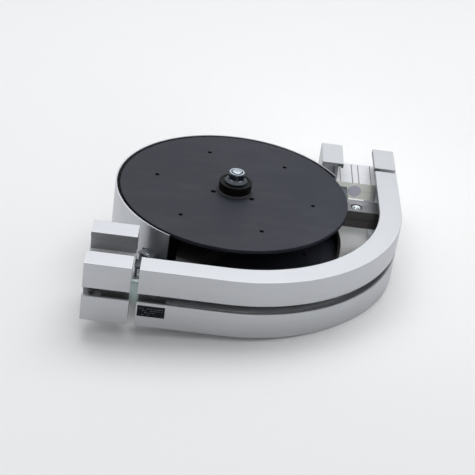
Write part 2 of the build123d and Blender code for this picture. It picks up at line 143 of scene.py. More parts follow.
class Finish(NodeMaker):
    # a material with one Principled shader
    def __init__(self, name, **constants):
        self.material = bpy.data.materials.new(name)
        self.material.use_nodes = True
        super().__init__(self.material.node_tree)
        fixed = {socket.replace("_", " "): value for socket, value in constants.items()}
        shader = self.node("ShaderNodeBsdfPrincipled", {}, fixed)
        self.node("ShaderNodeOutputMaterial", {}, {"Surface": shader})
        self.shader = shader.socket.node
        self.where = self.node("ShaderNodeTexCoord", {}, (), "Object")
        self.facing = Value(self, self.where.socket.node.outputs["Normal"])

    def drive(self, socketName, value):
        self.feed(self.shader.inputs[socketName], value)

    def axis(self, vector, index):
        return self.node("ShaderNodeSeparateXYZ", {}, [vector], index)

    def join(self, *parts):
        return self.node("ShaderNodeCombineXYZ", {}, list(parts))

    def stretched(self, scale):
        return self.node("ShaderNodeMapping", {}, {"Vector": self.where, "Scale": scale})

    def noise(self, place, scale, detail=3.0, rough=0.55):
        return self.node("ShaderNodeTexNoise", {}, {"Vector": place, "Scale": scale, "Detail": detail,
                                                    "Roughness": rough})

    def blend(self, share, first, second):
        first, second = (value if isinstance(value, Value) else (*value, 1) for value in (first, second))
        return self.node("ShaderNodeMix", {"data_type": "RGBA"}, {0: share, 6: first, 7: second}, 2)

    def between(self, value, low, high):
        return value * (high - low) + low

    def step(self, value, low, high):
        # 0 below low and 1 above high
        return self.node("ShaderNodeMapRange", {}, {"Value": value, "From Min": low, "From Max": high})

    def above(self, value, edge, soft):
        return self.step(value, edge, edge + soft)

    def below(self, value, edge, soft):
        return 1 - self.above(value, edge, soft)

    def bump(self, height, distance):
        self.drive("Normal", self.node("ShaderNodeBump", {}, {"Height": height, "Distance": distance}))

    def fromAxis(self):
        # distance from the wheels' axis
        x, y = self.axis(self.where, 0), self.axis(self.where, 1)
        return (x * x + y * y).maths("SQRT")

    def acrossRun(self):
        # distance from the wheels' axis round the bend, and beside the track along the straights
        x = self.axis(self.where, 0).maths("MAXIMUM", 0.0)
        y = self.axis(self.where, 1).maths("MINIMUM", 0.0)
        return (x * x + y * y).maths("SQRT")


def profileFinish():
    # drawn and anodised, with die lines that follow the run
    look = {               # places are measured up, and beside the track's centreline
        "light": (0.605, 0.62, 0.65), "dark": (0.51, 0.52, 0.54), "rough": 0.53, "smooth": 0.42,
        "lines": 700.0, "broad": 130.0, "cloud": 16.0, "relief": 0.00001, "trackRadius": 0.15,
        # slot is the painted shade inside the slots
        "slot": (0.20, 0.20, 0.21), "slotBottom": 0.026, "slotMouth": 0.0436, "slotSoft": 0.001,
        "middle": 0.035, "chamberHalf": 0.0136, "slotLow": 0.024, "slotHigh": 0.0315,
        "lipTop": 0.0302, "lipTopSoft": 0.0004, "lipFrom": 0.0410, "lipFromSoft": 0.0003,
        # shade and its places are the painted shade under the lip
        "shade": (0.19, 0.19, 0.20), "shadeShare": 0.8, "shadeFrom": 0.012, "shadeTo": 0.060,
        "trackSide": 0.0254, "flange": 0.0688, "shadeSoft": 0.0005,
    }
    finish = Finish("profile", Metallic=0.85)
    across, up = finish.acrossRun(), finish.axis(finish.where, 2)
    lines = finish.noise(finish.join(across, up, 0.0), look["lines"], 4.0, 0.65)
    broad = finish.noise(finish.join(across, up, 0.0), look["broad"], 2.0)
    cloud = finish.noise(finish.where, look["cloud"], 4.0)
    worn = lines * 0.35 + broad * 0.3 + cloud * 0.35
    drawn = finish.blend(worn, look["dark"], look["light"])
    beside = (across - look["trackRadius"]).maths("ABSOLUTE")
    aside = (up - look["middle"]).maths("ABSOLUTE")
    # painted shade: the faces on the track's side are darker higher up, under the lip
    underLipShade = finish.step(up, look["shadeFrom"], look["shadeTo"])
    underLipShade = underLipShade * finish.below(up, look["flange"], 2 * look["shadeSoft"])
    underLipShade = underLipShade * finish.below(beside, look["trackSide"], look["shadeSoft"])
    drawn = finish.blend(underLipShade * look["shadeShare"], drawn, look["shade"])
    # painted shade: the slots darken upwards, but for the top of their lower lip, which is left lit
    slotShadeMask = finish.above(beside, look["slotBottom"], look["slotSoft"])
    slotShadeMask = slotShadeMask * finish.below(beside, look["slotMouth"], look["slotSoft"])
    slotShadeMask = slotShadeMask * finish.below(aside, look["chamberHalf"], look["slotSoft"] / 2)
    lipTop = finish.above(beside, look["lipFrom"], look["lipFromSoft"])
    lipTop = lipTop * finish.below(up, look["lipTop"], look["lipTopSoft"])
    slotShadeMask = slotShadeMask * finish.step(up, look["slotLow"], look["slotHigh"]) * (1 - lipTop)
    finish.drive("Base Color", finish.blend(slotShadeMask, drawn, look["slot"]))
    finish.drive("Roughness", finish.between(worn, look["rough"], look["smooth"]))
    finish.bump(lines, look["relief"])
    return finish.material


def webFinish():
    # sawn block, its front faces painted lighter than its top to stand in for light from the front, with
    # painted shade in four fine grooves along its top
    look = {"top": (0.80, 0.81, 0.84), "topDark": (0.66, 0.67, 0.70), "front": (0.96, 0.98, 0.92),
            "frontDark": (0.88, 0.90, 0.84), "groove": (0.10, 0.10, 0.12), "trackRadius": 0.15,
            "grooves": (0.004, 0.019), "grooveHalf": 0.00038, "grooveSoft": 0.0002,
            "topFrom": 0.5, "topTo": 0.8, "rough": 0.55, "smooth": 0.42, "relief": 0.00002}
    finish = Finish("web")
    top = finish.step(finish.axis(finish.facing, 2), look["topFrom"], look["topTo"])
    cloud = finish.noise(finish.where, 40.0, 4.0)
    grain = finish.noise(finish.where, 600.0, 4.0)
    tone = cloud * 0.5 + grain * 0.5
    # painted light: faces that do not face up get the lighter front colours
    faces = finish.blend(top, finish.blend(tone, look["frontDark"], look["front"]),
                         finish.blend(tone, look["topDark"], look["top"]))
    beside = (finish.acrossRun() - look["trackRadius"]).maths("ABSOLUTE")
    # painted shade in the grooves along the top
    cut = 0.0
    for place in look["grooves"]:
        off = (beside - place).maths("ABSOLUTE")
        cut = cut + finish.below(off, look["grooveHalf"], look["grooveSoft"])
    finish.drive("Base Color", finish.blend(cut * top, faces, look["groove"]))
    finish.drive("Roughness", finish.between(tone, look["rough"], look["smooth"]))
    finish.bump(grain, look["relief"])
    return finish.material


def stripFinish():
    # zinc with a green cast where it shows between the profiles, and painted shade inside the slots
    look = {"clean": (0.50, 0.60, 0.59), "cleanDark": (0.38, 0.46, 0.45), "slotShade": (0.17, 0.175, 0.185),
            "gap": (0.0912, 0.1004), "gapSoft": 0.0006, "rough": 0.50, "smooth": 0.38, "relief": 0.00001}
    finish = Finish("strip", Metallic=0.6)
    x, y = finish.axis(finish.where, 0), finish.axis(finish.where, 1)
    along = y.maths("MAXIMUM", x * -1)
    (low, high), soft = look["gap"], look["gapSoft"]
    inGap = finish.above(along, low - soft, soft) * finish.below(along, high, soft)
    grain = finish.noise(finish.where, 500.0, 4.0)
    clean = finish.blend(grain, look["cleanDark"], look["clean"])
    # painted shade: darker everywhere but in the gap between the profiles
    finish.drive("Base Color", finish.blend(inGap, look["slotShade"], clean))
    finish.drive("Roughness", finish.between(grain, look["rough"], look["smooth"]))
    finish.bump(grain, look["relief"])
    return finish.material


def metalFinish(name, light, dark, roughness, grain, metallic=0.9):
    # rolled or sawn metal: grain holds how tightly its lines run along x, y and z
    finish = Finish(name, Metallic=metallic)
    lines = finish.noise(finish.stretched(grain), 1.0, 5.0, 0.6)
    cloud = finish.noise(finish.where, 18.0, 3.0)
    worn = lines * 0.6 + cloud * 0.4
    finish.drive("Base Color", finish.blend(worn, dark, light))
    finish.drive("Roughness", finish.between(worn, roughness + 0.05, roughness - 0.05))
    finish.bump(lines, 0.00001)
    return finish.material


def carrierFinish():
    # dark on its sides and bright metal on the tops of its pads, with painted shade under the disc
    look = {"cast": (0.045, 0.042, 0.041), "castLight": (0.080, 0.076, 0.074),
            "cut": (0.25, 0.255, 0.27), "cutDark": (0.14, 0.145, 0.155), "under": (0.010, 0.010, 0.010),
            "padsFrom": 0.132, "padsTo": 0.140, "topFrom": 0.6, "topTo": 0.9, "topMetal": 0.85,
            "seam": (0.004, 0.004, 0.004), "seamFrom": 0.0003, "seamTo": 0.0007,
            "rough": 0.62, "smooth": 0.42, "relief": 0.00004}
    finish = Finish("carrier")
    atPads = finish.step(finish.fromAxis(), look["padsFrom"], look["padsTo"])
    top = finish.step(finish.axis(finish.facing, 2), look["topFrom"], look["topTo"]) * atPads
    joint = (finish.axis(finish.where, 2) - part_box("carrier_lower_plate")[1].z).maths("ABSOLUTE")
    grain = finish.noise(finish.where, 420.0, 4.0)
    cloud = finish.noise(finish.where, 45.0, 4.0)
    streaks = finish.noise(finish.stretched((90, 1400, 90)), 1.0, 4.0)
    cut = finish.blend(streaks * 0.5 + cloud * 0.5, look["cutDark"], look["cut"])
    cast = finish.blend(grain, look["cast"], look["castLight"])
    # painted shade: darker still under the disc, nearer the axis than the pads
    cast = finish.blend(atPads, look["under"], cast)
    cast = finish.blend(finish.step(joint, look["seamFrom"], look["seamTo"]), look["seam"], cast)
    finish.drive("Base Color", finish.blend(top, cast, cut))
    finish.drive("Metallic", finish.between(top, 0.0, look["topMetal"]))
    finish.drive("Roughness", finish.between(top, look["rough"], look["smooth"]))
    finish.bump(grain, look["relief"])
    return finish.material


def guardFinish():
    # brushed round the wheel, with painted shade darkening it towards its free ends
    look = {"light": (0.62, 0.635, 0.66), "dark": (0.50, 0.51, 0.54), "endShade": (0.17, 0.17, 0.20),
            "endShadeFrom": -0.10, "endShadeTo": 0.42, "endShadeShare": 0.75, "rough": 0.44, "smooth": 0.34,
            "relief": 0.00001}
    finish = Finish("guard", Metallic=0.92)
    x, y, z = (finish.axis(finish.where, index) for index in range(3))
    turn = y.maths("ARCTAN2", x)
    brush = finish.noise(finish.join(turn * 3.0, z * 1500.0, 0.0), 1.0, 4.0, 0.6)
    cloud = finish.noise(finish.where, 22.0, 4.0)
    worn = brush * 0.6 + cloud * 0.4
    # painted shade towards the free ends
    nearEnd = finish.step((x - y) / finish.fromAxis(), look["endShadeFrom"], look["endShadeTo"])
    brushed = finish.blend(worn, look["dark"], look["light"])
    finish.drive("Base Color", finish.blend(nearEnd * look["endShadeShare"], brushed, look["endShade"]))
    finish.drive("Roughness", finish.between(worn, look["rough"], look["smooth"]))
    finish.bump(brush, look["relief"])
    return finish.material


def discFinish():
    # moulded charcoal plastic with faint turning rings and scuffs
    look = {"light": (0.022, 0.0245, 0.038), "dark": (0.014, 0.016, 0.026), "dust": (0.048, 0.050, 0.062),
            "dustFrom": 0.47, "dustTo": 0.70, "dustShare": 0.4, "rough": 0.58, "smooth": 0.46,
            "relief": 0.00003, "hole": (0.001, 0.001, 0.001), "holeSoft": 0.0003, "holeRough": 0.5,
            # circle, first angle, count and edge
            "holes": ((0.092, -9.1, 6, 0.0029), (0.026, 80.9, 3, 0.0026))}
    finish = Finish("disc", Specular_IOR_Level=0.25)
    x, y, out = finish.axis(finish.where, 0), finish.axis(finish.where, 1), finish.fromAxis()
    rings = finish.noise(finish.join(out, 0.0, 0.0), 900.0, 3.0, 0.7)
    scuff = finish.noise(finish.stretched((18, 60, 18)), 1.0, 6.0, 0.7)
    cloud = finish.noise(finish.where, 9.0, 4.0)
    grain = finish.noise(finish.where, 900.0, 2.0)
    tone = rings * 0.2 + scuff * 0.4 + cloud * 0.4
    base = finish.blend(tone, look["dark"], look["light"])
    dusty = finish.step(scuff * 0.5 + cloud * 0.5, look["dustFrom"], look["dustTo"]) * look["dustShare"]
    # painted shade round each hole and screw: the sectors are folded onto one, and the distance to its screw
    # is taken
    holes = 0.0
    for circle, first, count, reach in look["holes"]:
        sector = 2 * math.pi / count
        share = (y.maths("ARCTAN2", x) - math.radians(first)) / sector
        local = ((share + 0.5).maths("FRACT") - 0.5) * sector
        away = (out * out + circle * circle - out * local.maths("COSINE") * (2 * circle)).maths("SQRT")
        holes = holes + finish.below(away, reach - look["holeSoft"], look["holeSoft"])
    finish.drive("Base Color", finish.blend(holes, finish.blend(dusty, base, look["dust"]), look["hole"]))
    finish.drive("Roughness", finish.between(tone, look["rough"], look["smooth"]) + holes * look["holeRough"])
    finish.bump(grain * 0.7 + rings * 0.3, look["relief"])
    return finish.material


def plasticFinish(name, colour, lift, roughness, specular=0.4):
    # moulded; lift is how much lighter its lightest parts are
    finish = Finish(name, Specular_IOR_Level=specular)
    grain = finish.noise(finish.where, 700.0, 3.0)
    cloud = finish.noise(finish.where, 60.0, 4.0)
    worn = grain * 0.4 + cloud * 0.6
    lighter = tuple(part * lift for part in colour)
    finish.drive("Base Color", finish.blend(worn, colour, lighter))
    finish.drive("Roughness", finish.between(worn, roughness + 0.08, roughness - 0.08))
    finish.bump(grain, 0.00002)
    return finish.material


def zincFinish():
    # bright zinc plating with its faint blue and yellow bloom
    look = {"blue": (0.53, 0.62, 0.70), "yellow": (0.64, 0.66, 0.64), "rough": 0.30, "smooth": 0.14,
            "relief": 0.000008}
    finish = Finish("zinc", Metallic=1.0)
    bloom = finish.noise(finish.where, 120.0, 3.0)
    grain = finish.noise(finish.where, 1500.0, 3.0)
    finish.drive("Base Color", finish.blend(bloom, look["blue"], look["yellow"]))
    finish.drive("Roughness", finish.between(bloom * 0.5 + grain * 0.5, look["rough"], look["smooth"]))
    finish.bump(grain, look["relief"])
    return finish.material


def nutFinish():
    # plated, with a painted dark reflection on its flank, lighter where it faces up, and a painted shade line
    # in the gap between nut and bolt
    look = {"top": (0.70, 0.77, 0.84), "flankReflection": (0.10, 0.11, 0.13), "line": (0.05, 0.05, 0.06),
            "ring": (0.0054, 0.0068), "ringSoft": 0.0002, "topFrom": 0.93, "topTo": 0.99,
            "smooth": 0.16, "rough": 0.30, "relief": 0.00001}
    finish = Finish("nut", Metallic=1.0)
    out = finish.fromAxis()
    up = finish.step(finish.axis(finish.facing, 2), look["topFrom"], look["topTo"])
    grain = finish.noise(finish.where, 1300.0, 3.0)
    (low, high), soft = look["ring"], look["ringSoft"]
    # painted shade in the gap between nut and bolt
    gapShadeRing = finish.above(out, low, soft) * finish.below(out, high - soft, soft)
    # painted reflection: faces that do not face up are darker
    plated = finish.blend(up * 0.85 + grain * 0.15, look["flankReflection"], look["top"])
    finish.drive("Base Color", finish.blend(gapShadeRing, plated, look["line"]))
    finish.drive("Roughness", finish.between(grain, look["smooth"], look["rough"]))
    finish.bump(grain, look["relief"])
    return finish.material


finishes = {
    "profile": profileFinish(),
    "guard": guardFinish(),
    "disc": discFinish(),
    "carrier": carrierFinish(),
    "zinc": zincFinish(),
    "web": webFinish(),
    "strip": stripFinish(),
    "nut": nutFinish(),
    "bracket": metalFinish("bracket", (0.17, 0.195, 0.215), (0.11, 0.13, 0.145), 0.36, (90, 90, 90)),
    "bearing": metalFinish("bearing", (0.70, 0.71, 0.72), (0.60, 0.61, 0.62), 0.20, (60, 60, 1500)),
    "brass": metalFinish("brass", (0.72, 0.55, 0.27), (0.60, 0.44, 0.20), 0.3, (300, 300, 300)),
    "blackSteel": metalFinish("blackSteel", (0.008, 0.008, 0.009), (0.004, 0.004, 0.005), 0.5,
                              (400, 400, 400), metallic=0.5),
    "plug": plasticFinish("plug", (0.60, 0.60, 0.70), 1.15, 0.45),
    "collar": plasticFinish("collar", (0.0016, 0.0016, 0.002), 1.8, 0.5, specular=0.13),
    # socket is painted shade: near-black and barely shiny, so the disc screws look like dark holes
    "socket": plasticFinish("socket", (0.001, 0.001, 0.001), 1.5, 0.7, specular=0.03),
    "rubber": plasticFinish("rubber", (0.020, 0.020, 0.022), 1.6, 0.6),
    "label": plasticFinish("label", (0.004, 0.004, 0.007), 1.6, 0.35, specular=0.12),
    "print": plasticFinish("print", (0.10, 0.105, 0.125), 2.0, 0.4),
}

slotFinish = {
    "anodised_profile": "profile", "anodised_web": "web", "machined_carrier": "carrier",
    "guard_aluminium": "guard", "bracket_grey": "bracket", "grey_plug": "plug", "zinc_steel": "zinc",
    "bearing_steel": "bearing", "black_steel": "blackSteel", "black_plastic": "collar",
    "charcoal_plastic": "disc", "black_rubber": "rubber", "black_label": "label", "brass_cage": "brass",
}
nodeFinish = {             # nodes whose finish is not their slot's usual one
    "axle_bolt": "nut", "axle_flange_nut": "nut", "lower_wheel_rim": "collar",
    # the disc screws take socket, painted near-black as the shade of their holes
    "upper_disc_screws": "socket", "lower_disc_screws": "socket",
    "outfeed_joining_strip": "strip", "infeed_joining_strip": "strip",
    "outfeed_tie_screws": "strip", "infeed_tie_screws": "strip",
}
slotOf = {part["node"]: part["material_slot"] for part in frame["record"]["subparts"]}
for nodeName, slotName in slotOf.items():
    cadMesh = cadNodes[nodeName].data
    cadMesh.materials.clear()
    cadMesh.materials.append(finishes[nodeFinish.get(nodeName, slotFinish[slotName])])
print("finishes made:", len(finishes))


bodies = frame["record"]["behaviour"]["bodies"]
bodyOf = {node: bodyName for bodyName, nodes in bodies.items() for node in nodes}


def finishPiece(name, bm, nodes, smoothAngle=35.0, slotName=None, finish=None, bodyName=None):
    # a plain object at the origin that stands for its CAD nodes
    mesh = bpy.data.meshes.new(name)
    bm.to_mesh(mesh)
    bm.free()
    for face in mesh.polygons:
        face.use_smooth = True
    mesh.set_sharp_from_angle(angle=math.radians(smoothAngle))
    slotName = slotName or slotOf[nodes[0]]
    named = nodeFinish.get(nodes[0]) if nodes else None
    mesh.materials.append(finish or finishes[named or slotFinish[slotName]])
    piece = bpy.data.objects.new(name, mesh)
    bpy.context.scene.collection.objects.link(piece)
    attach(piece, bodyName or bodyOf[nodes[0]])
    if nodes:
        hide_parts(*nodes)


def evaluated(piece):
    # the piece's mesh with its modifiers worked out, and its stand-in objects removed
    graph = bpy.context.evaluated_depsgraph_get()
    mesh = bpy.data.meshes.new_from_object(piece.evaluated_get(graph))
    bm = bmesh.new()
    bm.from_mesh(mesh)
    bpy.data.objects.remove(piece)
    bpy.data.meshes.remove(mesh)
    return bm


def workObject(bm):
    mesh = bpy.data.meshes.new("work")
    bm.to_mesh(mesh)
    bm.free()
    piece = bpy.data.objects.new("work", mesh)
    bpy.context.scene.collection.objects.link(piece)
    return piece


def softCopy(name, nodes, width):
    # the CAD shape with its edges eased
    bm = bmesh.new()
    for node in nodes:
        bm.from_mesh(cadNodes[node].data)
    bmesh.ops.remove_doubles(bm, verts=bm.verts, dist=0.000002)
    bmesh.ops.dissolve_limit(bm, angle_limit=math.radians(0.4), verts=bm.verts, edges=bm.edges)
    work = workObject(bm)
    bevel = work.modifiers.new("eased", "BEVEL")
    bevel.width, bevel.segments = width, 2
    bevel.limit_method = "ANGLE"
    bevel.angle_limit = math.radians(32)
    finishPiece(name, evaluated(work), nodes, 22.0)


def ringMesh(rings, count, hexTurn=0.0):
    # rings of (radius, height) or (radius, height, "hex"), joined from first to last, with both ends closed
    bm = bmesh.new()
    loops = []
    for radius, height, *shape in rings:
        loop = []
        for number in range(count):
            turn = 2 * math.pi * number / count
            reach = radius
            if shape:
                reach = radius / math.cos((turn + hexTurn) % (math.pi / 3) - math.pi / 6)
            loop.append(bm.verts.new((reach * math.cos(turn), reach * math.sin(turn), height)))
        loops.append(loop)
    for low, high in zip(loops, loops[1:]):
        for number in range(count):
            after = (number + 1) % count
            bm.faces.new((low[number], low[after], high[after], high[number]))
    bm.faces.new(reversed(loops[0]))
    bm.faces.new(loops[-1])
    bmesh.ops.recalc_face_normals(bm, faces=bm.faces)
    return bm


def boreThrough(bm):
    # takes the two end faces off a ring mesh and joins its first ring to its last
    ends = [face for face in bm.faces if len(face.verts) > 4]
    bmesh.ops.delete(bm, geom=ends, context="FACES_ONLY")
    bmesh.ops.bridge_loops(bm, edges=[edge for edge in bm.edges if edge.is_boundary])
    bmesh.ops.remove_doubles(bm, verts=bm.verts, dist=0.000001)
    bmesh.ops.recalc_face_normals(bm, faces=bm.faces)
    return bm


def mirrorToInfeed(bm):
    # swaps the outfeed side for the infeed side
    for vert in bm.verts:
        vert.co.x, vert.co.y = -vert.co.y, -vert.co.x
    bmesh.ops.reverse_faces(bm, faces=bm.faces)
    return bm


class Shaper(NodeMaker):
    # a Geometry Nodes tree with named inputs
    def __init__(self, name, inputs):
        super().__init__(bpy.data.node_groups.new(name, "GeometryNodeTree"))
        face = self.tree.interface
        face.new_socket("Geometry", in_out="INPUT", socket_type="NodeSocketGeometry")
        for label, (kind, value) in inputs.items():
            socket = face.new_socket(label, in_out="INPUT", socket_type="NodeSocket" + kind)
            if value is not None:
                socket.default_value = value
        face.new_socket("Geometry", in_out="OUTPUT", socket_type="NodeSocketGeometry")
        self.group = self.node("NodeGroupInput").socket.node

    def given(self, label):
        return Value(self, self.group.outputs[label])

    def finish(self, geometry):
        whole = self.node("GeometryNodeRealizeInstances", {}, [geometry])
        covered = {"Geometry": whole, "Material": self.given("Material")}
        whole = self.node("GeometryNodeSetMaterial", {}, covered)
        self.node("NodeGroupOutput", {}, [whole])
        return self.tree


def shaped(bm, tree, values):
    # the mesh that the tree makes from bm and the named values
    work = workObject(bm)
    modifier = work.modifiers.new(tree.name, "NODES")
    modifier.node_group = tree
    identifiers = {item.name: item.identifier for item in tree.interface.items_tree
                   if item.in_out == "INPUT"}
    for label, value in values.items():
        modifier[identifiers[label]] = value
    return evaluated(work)


profileShape = {           # millimetres, across from the track's centreline and up
    "halfWidth": 45.0, "height": 70.0, "boxInner": 25.0, "lipInner": 19.0, "lipWidth": 2.5,
    "lipDrop": 2.0, "flange": 4.0, "wall": 3.5, "shelf": 3.0, "chamber": 26.6, "slot": 10.0,
    "slotEase": 0.75, "outerCorner": 1.0, "smallCorner": 0.35, "stationsPerMetre": 380,
}


def roundedLoop(corners, steps=3):
    # corners of (across, up, radius) as a closed loop with each corner rounded
    points = []
    for index, (x, y, radius) in enumerate(corners):
        here = Vector((x, y))
        before = Vector(corners[index - 1][:2]) - here
        after = Vector(corners[(index + 1) % len(corners)][:2]) - here
        half = before.angle(after) / 2
        back = min(radius / math.tan(half), before.length * 0.48, after.length * 0.48)
        start, end = here + before.normalized() * back, here + after.normalized() * back
        for step in range(steps + 1):
            share = step / steps
            points.append(start * (1 - share) ** 2 + here * 2 * share * (1 - share) + end * share ** 2)
    return points


def sectionMesh(side):
    # the profile's outline and its two closed cells, as edge loops
    s = profileShape
    middle, small, big = s["height"] / 2, s["smallCorner"], s["outerCorner"]
    inner, outer = s["boxInner"] + s["wall"], s["halfWidth"] - s["wall"]
    slot, room = s["slot"] / 2, s["chamber"] / 2
    low = [(s["lipInner"], 0, big), (s["halfWidth"], 0, big),
           (s["halfWidth"], middle - slot - s["slotEase"], small),
           (s["halfWidth"] - s["slotEase"], middle - slot, small), (outer, middle - slot, small),
           (outer, middle - room, small), (inner, middle - room, small)]
    lip = s["lipInner"] + s["lipWidth"]
    drop = s["flange"] + s["lipDrop"]
    inside = [(s["boxInner"], s["flange"], small), (lip, s["flange"], small), (lip, drop, small),
              (s["lipInner"], drop, small)]
    high = [(x, s["height"] - y, radius) for x, y, radius in reversed(low)]
    highInside = [(x, s["height"] - y, radius) for x, y, radius in reversed(inside)]
    loops = [low + high + highInside + inside]
    for bottom, top in ((s["flange"], middle - room - s["shelf"]),
                        (middle + room + s["shelf"], s["height"] - s["flange"])):
        loops.append([(inner, bottom, small), (outer, bottom, small),
                      (outer, top, small), (inner, top, small)])
    bm = bmesh.new()
    for loop in loops:
        verts = [bm.verts.new((side * point.x / 1000, point.y / 1000, 0)) for point in roundedLoop(loop)]
        for first, second in zip(verts, verts[1:] + verts[:1]):
            bm.edges.new((first, second))
    return bm


def profileTree():
    # draws the section along a straight, round a bend about the origin, and along a second straight
    shaper = Shaper("profileRun", {
        "Radius": ("Float", 0.15), "Start": ("Float", 0.0), "Before": ("Float", 0.1), "Turn": ("Float", 0.0),
        "After": ("Float", 0.0), "Stations": ("Int", 2), "Material": ("Material", None)})
    radius, before, turn = shaper.given("Radius"), shaper.given("Before"), shaper.given("Turn")
    after, stations = shaper.given("After"), shaper.given("Stations")
    section = shaper.node("GeometryNodeMeshToCurve", {}, [shaper.given("Geometry")])
    line = shaper.node("GeometryNodeCurvePrimitiveLine", {}, {"End": (1, 0, 0)})
    line = shaper.node("GeometryNodeResampleCurve", {}, {"Curve": line, "Count": stations})
    gone = shaper.node("GeometryNodeInputIndex") / (stations - 1) * (before + after + radius * turn)
    angle = ((gone - before) / radius).maths("MAXIMUM", 0.0).maths("MINIMUM", turn)
    left = (before - gone).maths("MAXIMUM", 0.0)
    past = (gone - before - radius * turn).maths("MAXIMUM", 0.0)
    cosine, sine = angle.maths("COSINE"), angle.maths("SINE")
    x = radius * cosine - past * sine
    y = shaper.given("Start") + left - radius * sine - past * cosine
    where = shaper.node("ShaderNodeCombineXYZ", {}, [x, y, 0.0])
    path = shaper.node("GeometryNodeSetPosition", {}, {"Geometry": line, "Position": where})
    path = shaper.node("GeometryNodeSetCurveNormal", {"mode": "Z_UP"}, [path])
    turned = shaper.node("GeometryNodeTransform", {}, {"Geometry": section, "Rotation": (0, 0, math.pi)})
    sides = shaper.node("GeometryNodeCurveToMesh", {}, {"Curve": path, "Profile Curve": turned})
    cap = shaper.node("GeometryNodeFillCurve", {}, [section])
    pieces = [sides]
    for share, spin in ((0.0, 0.0), (1.0, turn * -1)):
        ending = {"Curves": path, "Factor": share}
        spot = shaper.node("GeometryNodeSampleCurve", {"mode": "FACTOR"}, ending, 1)
        lean = shaper.node("ShaderNodeCombineXYZ", {}, [math.pi / 2, 0.0, spin])
        stood = {"Geometry": cap, "Translation": spot, "Rotation": lean}
        pieces.append(shaper.node("GeometryNodeTransform", {}, stood))
    joined = shaper.node("GeometryNodeJoinGeometry")
    for piece in reversed(pieces):
        shaper.feed(joined.socket.node.inputs[0], piece)
    sealed = shaper.node("GeometryNodeMergeByDistance", {}, {"Geometry": joined, "Distance": 0.00001})
    return shaper.finish(sealed)


def makeProfiles():
    tree = profileTree()
    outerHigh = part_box("outer_bend_profile")[1]
    endLow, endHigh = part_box("outfeed_outer_half")
    radius = outerHigh.x - profileShape["halfWidth"] / 1000
    perMetre = profileShape["stationsPerMetre"]
    straight = outerHigh.y
    run = 2 * straight + radius * math.pi / 2
    bend = {"Radius": radius, "Start": 0.0, "Before": straight, "Turn": math.pi / 2, "After": straight,
            "Stations": int(run * perMetre), "Material": finishes["profile"]}
    bm = shaped(sectionMesh(1), tree, bend)
    bmesh.ops.recalc_face_normals(bm, faces=bm.faces)
    finishPiece("outer_bend_extrusion", bm, ["outer_bend_profile"], 8.0)
    end = {"Radius": radius, "Start": endLow.y, "Before": endHigh.y - endLow.y, "Turn": 0.0, "After": 0.0,
           "Stations": 2, "Material": finishes["profile"]}
    for side, word in ((1, "outer"), (-1, "inner")):
        for flip, place in ((False, "outfeed"), (True, "infeed")):
            bm = shaped(sectionMesh(side), tree, end)
            bm = mirrorToInfeed(bm) if flip else bm
            bmesh.ops.recalc_face_normals(bm, faces=bm.faces)
            finishPiece(place + "_" + word + "_extrusion", bm, [place + "_" + word + "_half"], 8.0)


makeProfiles()
print("profiles drawn")


easedPieces = {            # piece: (CAD nodes, edge width in metres)
    "outfeed_web_blocks": (["outfeed_web_upper", "outfeed_web_lower"], 0.0003),
    "infeed_web_blocks": (["infeed_web_upper", "infeed_web_lower"], 0.0003),
    "carrier_top_casting": (["carrier_upper_plate"], 0.0009),
    "carrier_bottom_casting": (["carrier_lower_plate"], 0.0009),
    "outfeed_bracket_angle": (["outfeed_guard_bracket"], 0.0004),
    "infeed_bracket_angle": (["infeed_guard_bracket"], 0.0004),
    "outfeed_strip_bar": (["outfeed_joining_strip"], 0.0003),
    "infeed_strip_bar": (["infeed_joining_strip"], 0.0003),
    "axle_bolt_bright": (["axle_bolt"], 0.0003),
    "rivet_pair": (["guard_rivets"], 0.0003),
}
for pieceName, (nodes, width) in easedPieces.items():
    softCopy(pieceName, nodes, width)
print("eased pieces made:", len(easedPieces))


collarShape = {"grooves": 3, "grooveDepth": 0.00045, "grooveWidth": 0.0009, "edge": 0.0008, "wall": 0.003,
               "flangeWidth": 0.013, "flangeDepth": 0.004, "plainFoot": 0.0018, "boreEase": 0.0002,
               "lipWidth": 0.0015, "lipSteps": 6, "lipEnd": 0.00002}


def makeCollar(name, node, facing):
    # a turned collar with grooves round its wall; facing is 1 for the upper wheel and -1 for the lower
    s = collarShape
    low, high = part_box(node)
    discLow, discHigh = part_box(node.replace("_hub", "_disc"))
    flangeRadius = (high.x - low.x) / 2
    outer = flangeRadius - s["flangeWidth"]
    inner = outer - s["wall"]
    base, tip = (low.z, high.z)[::facing]
    under, deck = (discLow.z, discHigh.z)[::facing]

    def ring(radius, start, distance=0.0):
        return radius, start + facing * distance

    rings = [ring(inner, base), ring(outer - s["edge"], base), ring(outer, base, s["edge"]),
             ring(outer, under, -s["flangeDepth"]), ring(flangeRadius, under, -s["flangeDepth"]),
             ring(flangeRadius, under), ring(outer, under), ring(outer, deck, s["plainFoot"])]
    room = abs(tip - deck) - s["plainFoot"]
    for number in range(s["grooves"]):
        middle = s["plainFoot"] + room * (number + 1) / (s["grooves"] + 1)
        for shift, depth in ((-0.5, 0), (-0.25, 1), (0.25, 1), (0.5, 0)):
            rings.append(ring(outer - depth * s["grooveDepth"], deck, middle + shift * s["grooveWidth"]))
    rings += [ring(outer, tip, -s["edge"]), ring(outer - s["edge"] * 0.3, tip, -s["edge"] * 0.3),
              ring(outer - s["edge"], tip), ring(inner + s["boreEase"], tip),
              ring(inner, tip, -s["boreEase"])]
    finishPiece(name, boreThrough(ringMesh(rings, 96)), [node], 28.0)


